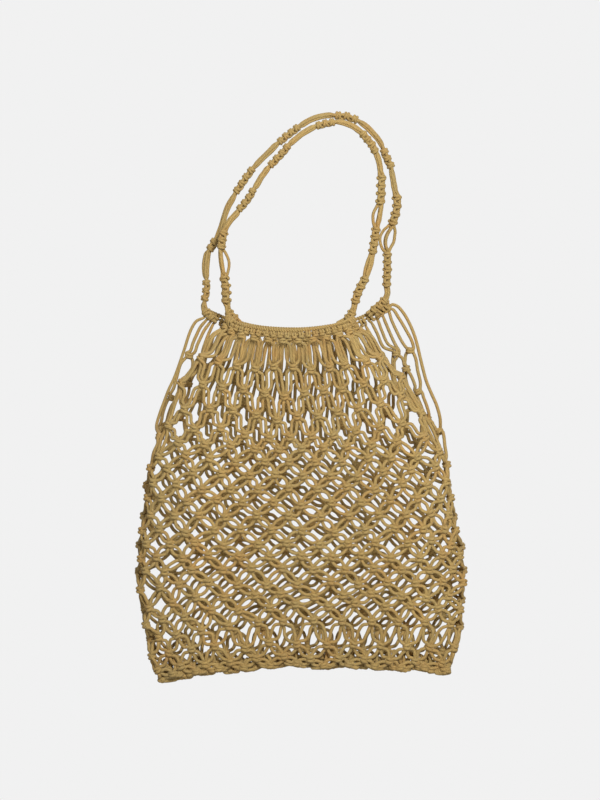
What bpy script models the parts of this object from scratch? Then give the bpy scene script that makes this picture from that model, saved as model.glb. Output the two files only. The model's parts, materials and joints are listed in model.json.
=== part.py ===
"""Knotted mesh tote bag for produce: two net panels of doubled cords hung from two
rim cords, and two handles of square-knot sinnet.

Units: metres, +Z up; the dimensions below are in millimetres. The front panel faces -Y
and the seam plane is y = 0 while the cords are laid out. The bag stands upright and part
open, with its bottom at z = 0 and the middle of its bounding box over the origin.
"""

from dataclasses import dataclass

import bpy
import numpy as np
from mathutils import Vector

MM = 0.001
FRONT, BACK = -1, 1      # the sign of y on each side of the seam plane

# --- cords and knots ---------------------------------------------------------------
CORD_R = 1.45            # radius of a net or handle cord
RIM_CORD_R = 1.3         # radius of the rim cord the net hangs from
RIM_CORD_STEPS = 30
CORDS_PER_PANEL = 24     # doubled cords hitched on each rim
STRANDS = 2 * CORDS_PER_PANEL
STRANDS_PER_KNOT = 4
HALF_KNOT = STRANDS_PER_KNOT // 2
KNOTS_PER_ROW = STRANDS // STRANDS_PER_KNOT
KNOT_PITCH = 3.5         # spacing of the strands inside one knot
HITCH_REACH = 4.4        # how far a hitch stands off the middle of the rim cord

# --- net ---------------------------------------------------------------------------
# Knot rows from the top down: height at the middle of a panel, whether the row is odd,
# rise at the panel's edges, and crowding of the knots towards the middle.
# Even rows group strands 0-3, 4-7, ...; odd rows group 2-5, 6-9, ...
KNOT_ROWS = (
    (341.0, False, 18.0, 0.0), (311.0, True, 14.0, 0.08), (287.0, False, 12.0, 0.12),
    (231.0, True, 6.0, 0.16), (190.5, False, 1.0, 0.04), (150.2, True, 0.0, 0.0),
    (109.8, False, 0.0, 0.0), (69.5, True, 0.0, 0.0), (42.0, False, 0.0, 0.0),
)
EDGE_RISE_POWER = 2.5    # higher values keep the rise closer to the edges

# Lowest line of the net: share of the way from the left edge to the right, height.
BOTTOM_LINE = ((0.0, 5.0), (0.08, 6.0), (0.3, 15.0), (0.7, 17.0), (0.88, 12.0), (1.0, 12.0))
BOTTOM_SECTION_Z = 15.0  # height of the section that places the strand ends in x and y

# --- panels ------------------------------------------------------------------------
# Outline of each panel: height, left edge x, right edge x.
FRONT_EDGES = (
    (367.0, -73.5, 51.5), (359.0, -79.0, 58.0), (341.0, -91.0, 71.0),
    (325.0, -101.0, 81.0), (311.0, -108.0, 90.0), (287.0, -122.0, 110.0),
    (265.0, -136.0, 127.0), (245.0, -143.0, 137.0), (231.0, -146.0, 142.5),
    (190.0, -152.0, 149.5), (150.0, -157.5, 155.5), (110.0, -160.0, 161.0),
    (80.0, -160.0, 161.5), (60.0, -158.0, 161.0), (42.0, -153.0, 159.5),
    (28.0, -151.0, 156.0), (0.0, -149.0, 152.0),
)
BACK_EDGES = (
    (372.0, -96.5, 87.5), (363.0, -101.5, 94.0), (341.0, -113.0, 109.0),
    (325.0, -118.5, 117.5), (311.0, -123.0, 121.5), (287.0, -133.0, 130.5),
    (265.0, -141.0, 137.0), (245.0, -146.0, 141.5), (231.0, -148.0, 145.0),
    (190.0, -153.5, 151.0), (150.0, -158.5, 157.0), (110.0, -161.0, 162.5),
    (80.0, -161.0, 163.0), (60.0, -159.0, 162.5), (42.0, -154.0, 160.5),
    (28.0, -152.0, 157.0), (0.0, -150.0, 153.0),
)
# Depth from the seam plane: height, depth at the edges, further bulge at the middle.
FRONT_DEPTH = (
    (367.0, 12.0, 46.0), (341.0, 11.0, 44.0), (311.0, 8.0, 40.0), (287.0, 5.0, 37.0),
    (231.0, 3.2, 34.0), (190.0, 2.6, 32.0), (110.0, 2.6, 24.0), (42.0, 2.6, 9.0),
    (15.0, 2.6, 0.6),
)
BACK_DEPTH = (
    (372.0, 12.0, 7.0), (341.0, 11.0, 9.0), (311.0, 8.0, 14.0), (287.0, 5.0, 19.0),
    (231.0, 3.2, 25.0), (190.0, 2.6, 26.0), (110.0, 2.6, 20.0), (42.0, 2.6, 8.0),
    (15.0, 2.6, 0.6),
)
BULGE_POWER = 1.15       # shapes the bulge across a panel
SECTION_POINTS = 241
TANGENT_REACH = 0.5      # arc length to each side over which a tangent is measured

# Rims: height at the corners, how far the middle hangs below them, shape of the sag.
FRONT_RIM_Z, FRONT_RIM_SAG = 366.0, 16.0
BACK_RIM_Z, BACK_RIM_SAG = 370.0, 13.0
RIM_SAG_POWER = 0.8

# --- handles -----------------------------------------------------------------------
# Middle line of each handle, from its left end over the top: x, z.
FRONT_HANDLE = (
    (-73.0, 372.7), (-74.5, 392.0), (-78.0, 418.0), (-79.0, 436.0), (-70.0, 460.0),
    (-53.5, 481.0), (-34.0, 509.0), (-10.5, 537.0), (21.5, 556.0), (41.5, 558.5),
    (61.0, 548.0), (77.0, 522.0), (81.0, 498.0), (79.0, 469.0), (73.5, 436.0),
    (65.5, 406.0), (58.5, 389.0), (52.0, 372.7),
)
BACK_HANDLE = (
    (-96.5, 376.7), (-95.0, 400.0), (-93.5, 426.0), (-84.0, 444.0), (-75.0, 468.0),
    (-58.5, 499.0), (-29.5, 531.0), (14.5, 563.0), (38.5, 565.5), (62.0, 557.0),
    (82.5, 534.0), (91.5, 508.0), (96.0, 480.0), (93.5, 455.0), (87.5, 426.0),
    (86.5, 400.0), (87.5, 376.7),
)
HANDLE_STANDOFF = 12.0   # distance of a handle from the seam plane
CORE_POINTS = 26         # points along a core cord
CORE_SPACING = 3.5       # the two core cords of a sinnet, centre to centre
CORE_TILT = np.pi / 4    # turns a core cord's section about its own line
KNOTTER_SWING = 3.4      # how far a knotting cord swings to each side
KNOTTER_OFFSET = 3.3     # a knotting cord's distance in front of or behind the cores
KNOTTER_TURNS = 17       # full swings, there and back
NECK = 9.0               # bare core cords at each end of a handle
CURVE_SUBSTEPS = 20      # fine steps between two points of a handle's middle line

# --- hinges ------------------------------------------------------------------------
SEAM_HINGE = (0.0, 0.0, 5.0)
HANDLE_HINGE_RISE = 8.0  # height of a handle's hinge above the corners of its rim
EMPTY_SIZE = 0.02        # metres

# --- material ----------------------------------------------------------------------
CORD_COLOURS = ((0.40, 0.30, 0.13), (0.37, 0.275, 0.115), (0.43, 0.325, 0.145))
CORD_ROUGHNESS = 0.8
RIM_SHADE = 1            # index into CORD_COLOURS


def at_height(table, height):
    """Second and third columns of a table of (height, a, b), at a height."""
    heights, first, second = zip(*sorted(table))
    return float(np.interp(height, heights, first)), float(np.interp(height, heights, second))


def lengths_along(steps):
    """Running arc length at each point of a line, from the lengths of its steps."""
    return np.concatenate([[0.0], np.cumsum(steps)])


def knot_position(lane, odd):
    """A lane's knot in one row: share of the way across, and offset from that knot."""
    if odd and lane < HALF_KNOT:
        return 0.0, (lane + 0.5) * KNOT_PITCH
    if odd and lane >= STRANDS - HALF_KNOT:
        return 1.0, -(STRANDS - lane - 0.5) * KNOT_PITCH
    knot, place_in_knot = divmod(lane - HALF_KNOT if odd else lane, STRANDS_PER_KNOT)
    share = (knot + (1.0 if odd else 0.5)) / KNOTS_PER_ROW
    return share, (place_in_knot - (STRANDS_PER_KNOT - 1) / 2) * KNOT_PITCH


@dataclass
class Panel:
    """One face of the bag, as a surface that the cords are laid on."""

    side: int
    edges: tuple
    depth: tuple
    rim_z: float
    rim_sag: float

    def section(self, height):
        """Horizontal cut through the panel: x, y and arc length, from left to right."""
        left, right = at_height(self.edges, height)
        edge, bulge = at_height(self.depth, height)
        angle = np.linspace(0.0, np.pi, SECTION_POINTS)
        x = (left + right) / 2 - (right - left) / 2 * np.cos(angle)
        y = self.side * (edge + bulge * np.sin(angle) ** BULGE_POWER)
        return x, y, lengths_along(np.hypot(np.diff(x), np.diff(y)))

    def place(self, height, share, offset=0.0, rise=0.0):
        """Point at a share of the way across plus an offset, and the outward direction.

        The rise lifts the point by its full amount at the edges and not at the middle.
        """
        x, y, arc = self.section(height + rise)

        def at_length(length):
            return np.interp(length, arc, x), np.interp(length, arc, y)

        length = np.clip(share * arc[-1] + offset, 0.0, arc[-1])
        point_x, point_y = at_length(length)
        left_x, left_y = at_length(length - TANGENT_REACH)
        right_x, right_y = at_length(length + TANGENT_REACH)
        tangent = Vector((right_x - left_x, right_y - left_y, 0.0)).normalized()
        outward = Vector((tangent.y, -tangent.x, 0.0)) * (-self.side)
        edge_share = abs(2 * share - 1) ** EDGE_RISE_POWER
        return Vector((point_x, point_y, height + rise * edge_share)), outward

    def rim(self, share):
        """Point on the sagging rim line, and the outward direction there."""
        point, outward = self.place(self.rim_z, share)
        point.z = self.rim_z - self.rim_sag * np.sin(np.pi * share) ** RIM_SAG_POWER
        return point, outward

    def rim_cord(self):
        return [self.rim(share)[0] for share in np.linspace(0.0, 1.0, RIM_CORD_STEPS + 1)]

    def strand(self, lane):
        """Points down one strand of the net, from the first knot row to the bottom."""
        points = []
        for height, odd, rise, crowding in KNOT_ROWS:
            share, offset = knot_position(lane, odd)
            share += crowding * np.sin(2 * np.pi * share) / (2 * np.pi)
            points.append(self.place(height, share, offset, rise)[0])
        share = (lane + 0.5) / STRANDS
        end, _ = self.place(BOTTOM_SECTION_Z, share)
        end.z = np.interp(share, *zip(*BOTTOM_LINE))
        return points + [end]

    def doubled_cord(self, number):
        """Up one lane, over the rim cord from outside to inside, and down the next lane."""
        lane = 2 * number
        first, outward = self.rim((lane + 0.5) / STRANDS)
        second, _ = self.rim((lane + 1.5) / STRANDS)
        hitch = [
            first + outward * HITCH_REACH,
            (first + second) / 2 + Vector((0.0, 0.0, 1.0)) * HITCH_REACH,
            second - outward * HITCH_REACH,
        ]
        return self.strand(lane)[::-1] + hitch + self.strand(lane + 1)


def smooth_line(points, count, trim=0.0):
    """Evenly spaced (x, z) points along the Catmull-Rom curve through the given points,
    leaving a length out at each end."""
    knots = [np.array(point, float) for point in points]
    # One mirrored point beyond each end lets the curve reach the end points.
    knots = [2 * knots[0] - knots[1]] + knots + [2 * knots[-1] - knots[-2]]
    fine = []
    for before, start, end, after in zip(knots, knots[1:], knots[2:], knots[3:]):
        for t in np.linspace(0.0, 1.0, CURVE_SUBSTEPS, endpoint=False):
            fine.append(
                0.5 * (2 * start + (end - before) * t
                       + (2 * before - 5 * start + 4 * end - after) * t**2
                       + (3 * start - before - 3 * end + after) * t**3)
            )
    fine.append(knots[-2])
    fine = np.array(fine)
    arc = lengths_along(np.linalg.norm(np.diff(fine, axis=0), axis=1))
    lengths = np.linspace(trim, arc[-1] - trim, count)
    return np.column_stack([np.interp(lengths, arc, fine[:, axis]) for axis in (0, 1)])


def inward_normals(line):
    """Unit normals of an (x, z) handle line, pointing to the inside of the loop."""
    slope = np.gradient(line, axis=0)
    normals = np.column_stack([slope[:, 1], -slope[:, 0]])
    return normals / np.linalg.norm(normals, axis=1)[:, None]


def shifted_path(line, shift, y):
    """An (x, z) line moved by a shift in its own plane and set at depth y."""
    return [Vector((x, y, z)) for x, z in line + shift]


def core_paths(points, y):
    """The two core cords, side by side along the middle line of a handle."""
    line = smooth_line(points, CORE_POINTS)
    # The highest step is made level, so that its underside lies flat.
    step_heights = (line[:-1, 1] + line[1:, 1]) / 2
    top = int(np.argmax(step_heights))
    line[top : top + 2, 1] = step_heights[top]
    normals = inward_normals(line)
    normals[top : top + 2] = (0.0, -1.0)
    shift = normals * (CORE_SPACING / 2)
    return {
        "core_inner": shifted_path(line, shift, y),
        "core_outer": shifted_path(line, -shift, y),
    }


def knotting_paths(points, y):
    """The two knotting cords, swinging in opposite senses on either face of the cores."""
    count = 2 * KNOTTER_TURNS + 1
    line = smooth_line(points, count, NECK)
    swing = np.where(np.arange(count) % 2 == 0, KNOTTER_SWING, -KNOTTER_SWING)
    shift = inward_normals(line) * swing[:, None]
    return {
        "knotting_front": shifted_path(line, shift, y - KNOTTER_OFFSET),
        "knotting_rear": shifted_path(line, -shift, y + KNOTTER_OFFSET),
    }


def cord_material(name, shade):
    colour = (*CORD_COLOURS[shade % len(CORD_COLOURS)], 1.0)
    material = bpy.data.materials.new(name)
    material.use_nodes = True
    shader = material.node_tree.nodes["Principled BSDF"]
    shader.inputs["Base Color"].default_value = colour
    shader.inputs["Roughness"].default_value = CORD_ROUGHNESS
    shader.inputs["Metallic"].default_value = 0.0
    material.diffuse_color = colour
    return material


def add_cord(name, points, radius, parent, shade, tilt=0.0):
    """A length of cord along points in millimetres, as a capped and bevelled curve."""
    curve = bpy.data.curves.new(name, "CURVE")
    curve.dimensions = "3D"
    curve.bevel_depth = radius * MM
    curve.bevel_resolution = 0
    curve.use_fill_caps = True
    curve.twist_mode = "MINIMUM"
    spline = curve.splines.new("POLY")
    spline.points.add(len(points) - 1)
    spline.use_smooth = True
    origin = parent.matrix_world.translation
    for spot, point in zip(spline.points, points):
        spot.co = (*(point * MM - origin), 1.0)
        spot.tilt = tilt
    curve.materials.append(cord_material(name, shade))
    cord = bpy.data.objects.new(name, curve)
    bpy.context.scene.collection.objects.link(cord)
    cord.parent = parent


def add_hinge(name, position, parent=None):
    """An empty on a hinge axis; the pieces that turn about it are parented to it."""
    empty = bpy.data.objects.new(name, None)
    empty.empty_display_size = EMPTY_SIZE
    bpy.context.scene.collection.objects.link(empty)
    location = Vector(position) * MM
    if parent:
        empty.parent = parent
        location = location - parent.matrix_world.translation
    empty.location = location
    # Cords and child hinges read this empty's world position.
    bpy.context.view_layer.update()
    return empty


def add_panel(face, panel, frame):
    """A rim cord and the doubled cords hitched on it."""
    add_cord(f"{face}_rim_cord", panel.rim_cord(), RIM_CORD_R, frame, RIM_SHADE)
    for number in range(CORDS_PER_PANEL):
        name = f"{face}_body_cord_{number + 1:02d}"
        add_cord(name, panel.doubled_cord(number), CORD_R, frame, shade=number)


def add_handle(face, points, panel, frame):
    """A sinnet handle on a hinge midway between its ends."""
    y = panel.side * HANDLE_STANDOFF
    middle_x = (points[0][0] + points[-1][0]) / 2
    hinge_position = (middle_x, y, panel.rim_z + HANDLE_HINGE_RISE)
    hinge = add_hinge(f"{face}_handle_hinge", hinge_position, frame)
    paths = core_paths(points, y) | knotting_paths(points, y)
    for shade, (name, path) in enumerate(paths.items()):
        tilt = CORE_TILT if name.startswith("core") else 0.0
        add_cord(f"{face}_handle_{name}", path, CORD_R, hinge, shade, tilt)


def centre_over_origin(root):
    """Moves the root so the bag's bounding box is centred in x and y and rests at z = 0."""
    bpy.context.view_layer.update()
    graph = bpy.context.evaluated_depsgraph_get()
    low, high = np.full(3, np.inf), np.full(3, -np.inf)
    for cord in bpy.data.objects:
        if cord.type != "CURVE":
            continue
        evaluated = cord.evaluated_get(graph)
        mesh = evaluated.to_mesh()
        spots = np.array([evaluated.matrix_world @ vertex.co for vertex in mesh.vertices])
        evaluated.to_mesh_clear()
        low = np.minimum(low, spots.min(axis=0))
        high = np.maximum(high, spots.max(axis=0))
    middle = (low + high) / 2
    root.location -= Vector((middle[0], middle[1], low[2]))
    bpy.context.view_layer.update()


def build():
    for old in list(bpy.data.objects):
        bpy.data.objects.remove(old, do_unlink=True)

    front = Panel(FRONT, FRONT_EDGES, FRONT_DEPTH, FRONT_RIM_Z, FRONT_RIM_SAG)
    back = Panel(BACK, BACK_EDGES, BACK_DEPTH, BACK_RIM_Z, BACK_RIM_SAG)
    back_frame = add_hinge("back_panel_frame", (0.0, 0.0, 0.0))
    front_frame = add_hinge("front_panel_hinge", SEAM_HINGE, back_frame)
    for face, panel, handle, frame in (
        ("front", front, FRONT_HANDLE, front_frame),
        ("back", back, BACK_HANDLE, back_frame),
    ):
        add_panel(face, panel, frame)
        add_handle(face, handle, panel, frame)
    centre_over_origin(back_frame)


build()
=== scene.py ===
"""Knotted net bag hanging flat, with a front and a back panel and a loop handle on each.

Lengths are in millimetres until a mesh is written. x runs right, z runs up and y runs from
the front (-) to the back (+), with the seam plane at y = 0. Left and right are those of a
viewer in front of the bag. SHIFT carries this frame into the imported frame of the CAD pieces.
"""

import json
import math
from collections import namedtuple
from functools import partial

import bpy
import numpy as np
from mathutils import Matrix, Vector


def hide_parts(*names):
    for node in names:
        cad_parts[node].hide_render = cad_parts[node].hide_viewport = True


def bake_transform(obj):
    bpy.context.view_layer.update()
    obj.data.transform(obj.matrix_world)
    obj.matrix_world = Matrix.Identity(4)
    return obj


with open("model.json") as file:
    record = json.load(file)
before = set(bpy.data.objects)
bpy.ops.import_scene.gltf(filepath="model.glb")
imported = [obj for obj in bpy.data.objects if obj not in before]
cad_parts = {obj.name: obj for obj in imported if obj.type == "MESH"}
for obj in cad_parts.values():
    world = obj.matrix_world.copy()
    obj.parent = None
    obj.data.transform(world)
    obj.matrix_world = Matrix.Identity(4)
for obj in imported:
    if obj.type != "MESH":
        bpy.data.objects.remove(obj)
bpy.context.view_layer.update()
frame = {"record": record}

hinges = {joint["name"]: joint for joint in frame["record"]["behaviour"]["joints"]}
MM = 1000.0                                   # millimetres in a metre
SEAM_HEIGHT = 5.0                             # of the mouth hinge above this frame's zero
SHIFT = np.array(hinges["mouth_opening"]["pos_m"]) * MM - np.array([0.0, 0.0, SEAM_HEIGHT])

rng = np.random.default_rng(20611)
FRONT, BACK = -1, 1                           # also the sign of y on each panel
SIDE_NAMES = {FRONT: "front", BACK: "back"}
UP = np.array([0.0, 0.0, 1.0])

CORD_RADIUS = 1.74
CORD_SIDES = 8                                # sides of a cord's section
KNOTS = 12                                    # square knots across a panel
LANES = 4 * KNOTS                             # strands across a panel
POINT_SPACING = 1.0                           # aimed at along a smoothed cord

VIEW_CENTRE = np.array([-0.5, 0.0, 281.0])    # where the camera's axis meets the seam plane
VIEW_DISTANCE = 2500.0
VIEW_WIDTH = 800.0                            # framed in the seam plane


# ----------------------------------------------------------------------------------
# Small geometry tools.
def unit(v):
    """Vector, or rows of vectors, scaled to length one."""
    return v / np.maximum(np.linalg.norm(v, axis=-1, keepdims=True), 1e-9)


def square_to(v, axis):
    """Unit vector of the part of v that is square to a unit axis."""
    return unit(v - axis * np.dot(v, axis))


def turned(first, second, angle):
    """A square pair of vectors turned in its plane, first towards second."""
    cosine, sine = math.cos(angle), math.sin(angle)
    return cosine * first + sine * second, cosine * second - sine * first


def run_along(points):
    """Distance from the first point to each point of a line."""
    steps = np.linalg.norm(np.diff(points, axis=0), axis=1)
    return np.concatenate([[0.0], np.cumsum(steps)])


def look_up(table, z):
    """Columns at height z of a table whose rows run from the top down."""
    heights, *columns = np.transpose(table)
    return [np.interp(-z, -heights, column) for column in columns]


def smooth_look_up(table, x):
    """Smooth (Hermite) reading of an (x, y) table, level at its turning points."""
    xs, ys = np.transpose(table)
    gap = np.diff(xs)
    rise = np.diff(ys) / gap
    slope = np.concatenate([[rise[0]], (rise[:-1] + rise[1:]) / 2, [rise[-1]]])
    slope[np.concatenate([[False], rise[:-1] * rise[1:] <= 0, [False]])] = 0.0
    x = np.clip(x, xs[0], xs[-1])
    i = np.clip(np.searchsorted(xs, x) - 1, 0, len(gap) - 1)
    t = (x - xs[i]) / gap[i]
    return ((2 * t**3 - 3 * t**2 + 1) * ys[i] + (t**3 - 2 * t**2 + t) * gap[i] * slope[i]
            + (-2 * t**3 + 3 * t**2) * ys[i + 1] + (t**3 - t**2) * gap[i] * slope[i + 1])


def spline(points, most=6):
    """Centripetal Catmull-Rom line; each span gets 2 to `most` steps by its length."""
    p = np.array(points, float)
    keep = np.concatenate([[True], np.linalg.norm(np.diff(p, axis=0), axis=1) > 0.25])
    p = p[keep]
    p = np.vstack([2 * p[0] - p[1], p, 2 * p[-1] - p[-2]])
    knot_gap = np.sqrt(np.maximum(np.linalg.norm(np.diff(p, axis=0), axis=1), 1e-6))
    out = []
    for i in range(1, len(p) - 2):
        p0, p1, p2, p3 = p[i - 1:i + 3]
        g1, g2, g3 = knot_gap[i - 1:i + 2]
        slope1 = ((p1 - p0) / g1 - (p2 - p0) / (g1 + g2) + (p2 - p1) / g2) * g2
        slope2 = ((p2 - p1) / g2 - (p3 - p1) / (g2 + g3) + (p3 - p2) / g3) * g2
        count = int(np.clip(math.ceil(np.linalg.norm(p2 - p1) / POINT_SPACING), 2, most))
        t = (np.arange(count) / count)[:, None]
        out.append((2 * t**3 - 3 * t**2 + 1) * p1 + (t**3 - 2 * t**2 + t) * slope1
                   + (-2 * t**3 + 3 * t**2) * p2 + (t**3 - t**2) * slope2)
    out.append(p[-2][None, :])
    return np.vstack(out)


# ----------------------------------------------------------------------------------
# Shape of the panels. Every table with z in its first column runs from the top down.

# Silhouette of the bag: z, x of the left edge, x of the right edge.
OUTLINE = [
    (383, -96.5, 87.5), (373, -97.5, 96.5), (369, -101.5, 102.5), (361, -109.5, 106.5),
    (351, -113.5, 111.5), (341, -116.5, 116.5), (331, -119.5, 118.5), (321, -123.5, 121.5),
    (311, -126.5, 123.5), (301, -131.5, 126.5), (291, -135.5, 130.5), (281, -137.5, 135.5),
    (271, -142.5, 138.5), (261, -145.5, 140.5), (251, -146.5, 142.5), (241, -147.5, 144),
    (231, -149.5, 145.5), (221, -151.5, 148.5), (211, -153, 149.5), (201, -153.5, 150),
    (191, -155, 151.5), (181, -155.5, 152.5), (171, -156.5, 154.5), (161, -158.5, 156.5),
    (151, -160, 158.5), (141, -160.5, 160), (131, -161, 161.5), (121, -162.5, 163.5),
    (111, -163.5, 164.5), (101, -163.5, 165.5), (91, -162.5, 164.5), (81, -162, 164.5),
    (71, -161.5, 164), (61, -160, 164.5), (51, -157.5, 163.5), (41, -156.5, 163.5),
    (31, -157.5, 161.5), (21, -156.5, 159.5), (11, -151.5, 154.5), (1, -144.5, 147.5),
]
# The front panel beside the side openings, where it is narrower: same columns.
FRONT_OUTLINE = [
    (368, -72.5, 51.5), (359, -81.5, 61.5), (350, -90, 69.5), (341, -98.5, 78.5),
    (325, -109, 90.5), (311, -118, 101.5), (287, -129, 115), (265, -137, 127.5),
    (245, -141.5, 137.5), (231, -146.5, 142.5), (211, -153, 149.5),
]
# z, distance of the panel's edges from the seam plane, extra distance at its middle.
DEPTH = {
    FRONT: [(367, 12.5, 45.5), (341, 13, 40.5), (311, 13, 33), (287, 12.5, 28), (231, 6, 30.4),
            (190, 2.2, 32), (110, 2.2, 24), (42, 2.2, 9), (15, 2.0, 1.5)],
    BACK: [(372, 12.5, 6.5), (341, 13, 5.5), (311, 13, 7), (287, 12.5, 10), (231, 6, 21.4),
           (190, 2.2, 26), (110, 2.2, 20), (42, 2.2, 8), (15, 2.0, 1.5)],
}
# z, power of the section's bulge: the folds grow rounder down the bag.
BULGE_POWER = [(363, 1.1), (281, 0.9), (211, 0.48), (41, 0.48), (15, 1.0)]

# Top edge of each rim: share of the way across, z.
RIM_TOP = {
    FRONT: [(0, 370), (0.06, 364.5), (0.13, 360.5), (0.2, 357.5), (0.27, 355.5), (0.35, 353.7),
            (0.42, 352.7), (0.5, 352.1), (0.6, 353), (0.7, 355.2), (0.8, 358.4), (0.88, 361.3),
            (0.94, 364), (1.0, 367.5)],
    BACK: [(0, 374), (0.06, 369), (0.12, 364.5), (0.18, 361), (0.3, 356), (0.5, 353.8),
           (0.7, 357.5), (0.79, 361.5), (0.85, 365.5), (0.9, 370), (0.95, 375.5), (1.0, 382)],
}
RIM_ENDS = {FRONT: (-72.0, 52.0), BACK: (-96.0, 87.5)}       # x of the left and right end
RIM_DEPTH_Z = 369.0                                          # height its depths are read at
RIM_POWER = 1.1
ROPE_DROP, WRAP_DROP, HITCH_DROP, FIRST_DROP = 1.8, 5.2, 5.9, 11.7    # below the top edge


def section_curve(ends, edge, bulge, power, count):
    """Horizontal section of a panel, its y taken as positive: x, y and run along it."""
    left, right = ends
    angle = np.linspace(0.0, np.pi, count)
    x = (left + right) / 2 - (right - left) / 2 * np.cos(angle)
    y = edge + bulge * np.maximum(np.sin(angle), 0.0) ** power
    return x, y, run_along(np.column_stack([x, y]))


class Panel:
    """One face of the bag."""

    def __init__(self, side):
        self.side = side
        self.sections = {}
        edge, bulge = look_up(DEPTH[side], RIM_DEPTH_Z)
        self.rim_section = section_curve(RIM_ENDS[side], edge, bulge, RIM_POWER, 181)

    def edges(self, z):
        left, right = look_up(OUTLINE, z)
        left, right = left + CORD_RADIUS, right - CORD_RADIUS
        if self.side == FRONT and z > FRONT_OUTLINE[-1][0]:
            front_left, front_right = look_up(FRONT_OUTLINE, z)
            left, right = max(left, front_left), min(right, front_right)
        return left, right

    def section(self, z):
        z = round(float(z), 2)
        if z not in self.sections:
            edge, bulge = look_up(DEPTH[self.side], z)
            [power] = look_up(BULGE_POWER, z)
            self.sections[z] = section_curve(self.edges(z), edge, bulge, power, 361)
        return self.sections[z]

    def on_section(self, section, share, z):
        x, y, run = section
        s = share * run[-1]
        return np.array([np.interp(s, run, x), self.side * np.interp(s, run, y), z])

    def place(self, z, share):
        """Point on the panel at a height and a share of the way from left to right."""
        return self.on_section(self.section(z), share, z)

    def rim(self, share, drop):
        """Point a drop below the rim's top edge."""
        z = smooth_look_up(RIM_TOP[self.side], share) - drop
        return self.on_section(self.rim_section, share, z)


PANELS = {FRONT: Panel(FRONT), BACK: Panel(BACK)}

# ----------------------------------------------------------------------------------
# Rows of knots, counted from the top. Even rows hold lanes 4k..4k+3. Odd rows hold lanes
# 4k+2..4k+5, with a knot at each side edge that ties the front and back panels together.
ROW_Z = np.array([342, 311, 287, 265, 245, 231, 217.6, 204.2, 190.8, 177.4, 164, 150.8, 137.6,
                  124.6, 111.6, 98.6, 86.4, 75, 61, 37.5, 23.5, 17])       # at mid panel
ROWS = len(ROW_Z)
# z, rise of a row at the panel's left edge, rise at its right edge.
EDGE_RISE = [
    (339, 18, 20), (311, 14, 18), (287, 14, 24), (265, 14, 25), (245, 13, 22), (231, 12, 18),
    (217.5, 11, 15), (204, 10, 12), (190.6, 8, 9), (177.1, 6, 6), (163.7, 3, 3), (150.2, 0, 0),
    (111, -2, 0), (99, -6, 0), (86, -13, -2), (75, -18, -3), (61, -19, -4), (38, -12, -5),
    (24, -14, -7), (15, -14, -6),
]
RISE_LEFT, RISE_RIGHT = look_up(EDGE_RISE, ROW_Z)
# z, strength of the sideways crowding of a row's knots.
[CROWD] = look_up([(339, 0.0), (311, 0.08), (265, 0.12), (231, 0.14), (211, 0.04),
                   (181, -0.09), (141, -0.10), (21, -0.04)], ROW_Z)
# z, height of a knot.
[KNOT_HEIGHT] = look_up([(339, 5.0), (311, 6.4), (231, 6.4), (201, 6.8), (24, 6.6), (17, 4.8)],
                        ROW_Z)
# The tube of net is wound a little round the fold lines: z, share of a panel.
WIND = [(301, 0.0), (231, 0.0113), (156, 0.0113), (103, -0.0113), (45, -0.0113), (15, -0.018)]
FOLD_WIND = [(241, 0.0), (191, 0.0208), (26, 0.0208), (15, 0.0)]    # beside the fold lines
FOLD_REACH = 0.075                  # share of a panel over which the fold's wind fades
# The back hangs out of step with the front: drop of rows 0 to 6, the last for all below.
BACK_DROP = [0.0, 11.0, 11.0, 10.0, 8.0, 7.0, 6.6]
FIRST_ROW_TOP = 359.0               # highest section the first row's places are read from
# Back knots beside the side openings, moved in x and z: (side, row, k) -> (x, z).
MOVED_KNOTS = {
    (BACK, 2, 11): (105.5, 312), (BACK, 2, 0): (-112, 297), (BACK, 1, 10): (95.5, 327.5),
    (BACK, 1, 9): (81, 323.5), (BACK, 1, 0): (-96, 315),
}
# Rows beside the side openings: the front's edge strands miss them, and their side-edge
# knots hold back strands only.
OPEN_ROWS = (1, 3, 5)
SIDE_KNOTS = {("L", 1): (-110.5, 14.0, 325), ("R", 1): (109, 14.0, 330.5),
              ("L", 3): (-129, 13.5, 283), ("R", 3): (117.5, 13.5, 290)}


def jitter(scale):
    return rng.normal(0.0, scale, 3) * np.array([1.0, 0.6, 1.0])


def row_z(row, share):
    left = max(0.0, 1 - 2 * share) ** 1.6
    right = max(0.0, 2 * share - 1) ** 1.6
    return ROW_Z[row] + RISE_LEFT[row] * left + RISE_RIGHT[row] * right


def on_bag(side, z, share):
    """Point on the tube; a share outside 0..1 runs round the fold onto the other panel."""
    [wind] = look_up(WIND, z)
    [fold_wind] = look_up(FOLD_WIND, z)
    if fold_wind:
        near = math.exp(-(min(share, 1.0 - share) / FOLD_REACH) ** 2)
        wind += (fold_wind * (1.0 if share < 0.5 else -1.0) - wind) * near
    share = share + wind if side == FRONT else share - wind
    if share < 0.0:
        side, share = -side, -share
    elif share > 1.0:
        side, share = -side, 2.0 - share
    return PANELS[side].place(z, share)


def first_row_centre(side, share):
    """Directly under the hitches, drawn a little towards the panel."""
    centre = PANELS[side].rim(share, FIRST_DROP)
    low = PANELS[side].place(min(centre[2], FIRST_ROW_TOP), share)
    centre[:2] = 0.75 * centre[:2] + 0.25 * low[:2]
    return centre


def panel_centre(side, row, share):
    z = row_z(row, share)
    if side == BACK and row < ROWS - 2:
        settle = min(1.0, min(share, 1.0 - share) / 0.10)
        z -= BACK_DROP[min(row, 6)] * settle
    if row < 5:
        z -= rng.normal(0.0, 1.5)
    scatter = 0.7 if row >= ROWS - 2 else 0.9 if row < 6 else 1.3
    return on_bag(side, z, share) + jitter(scatter)


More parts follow.
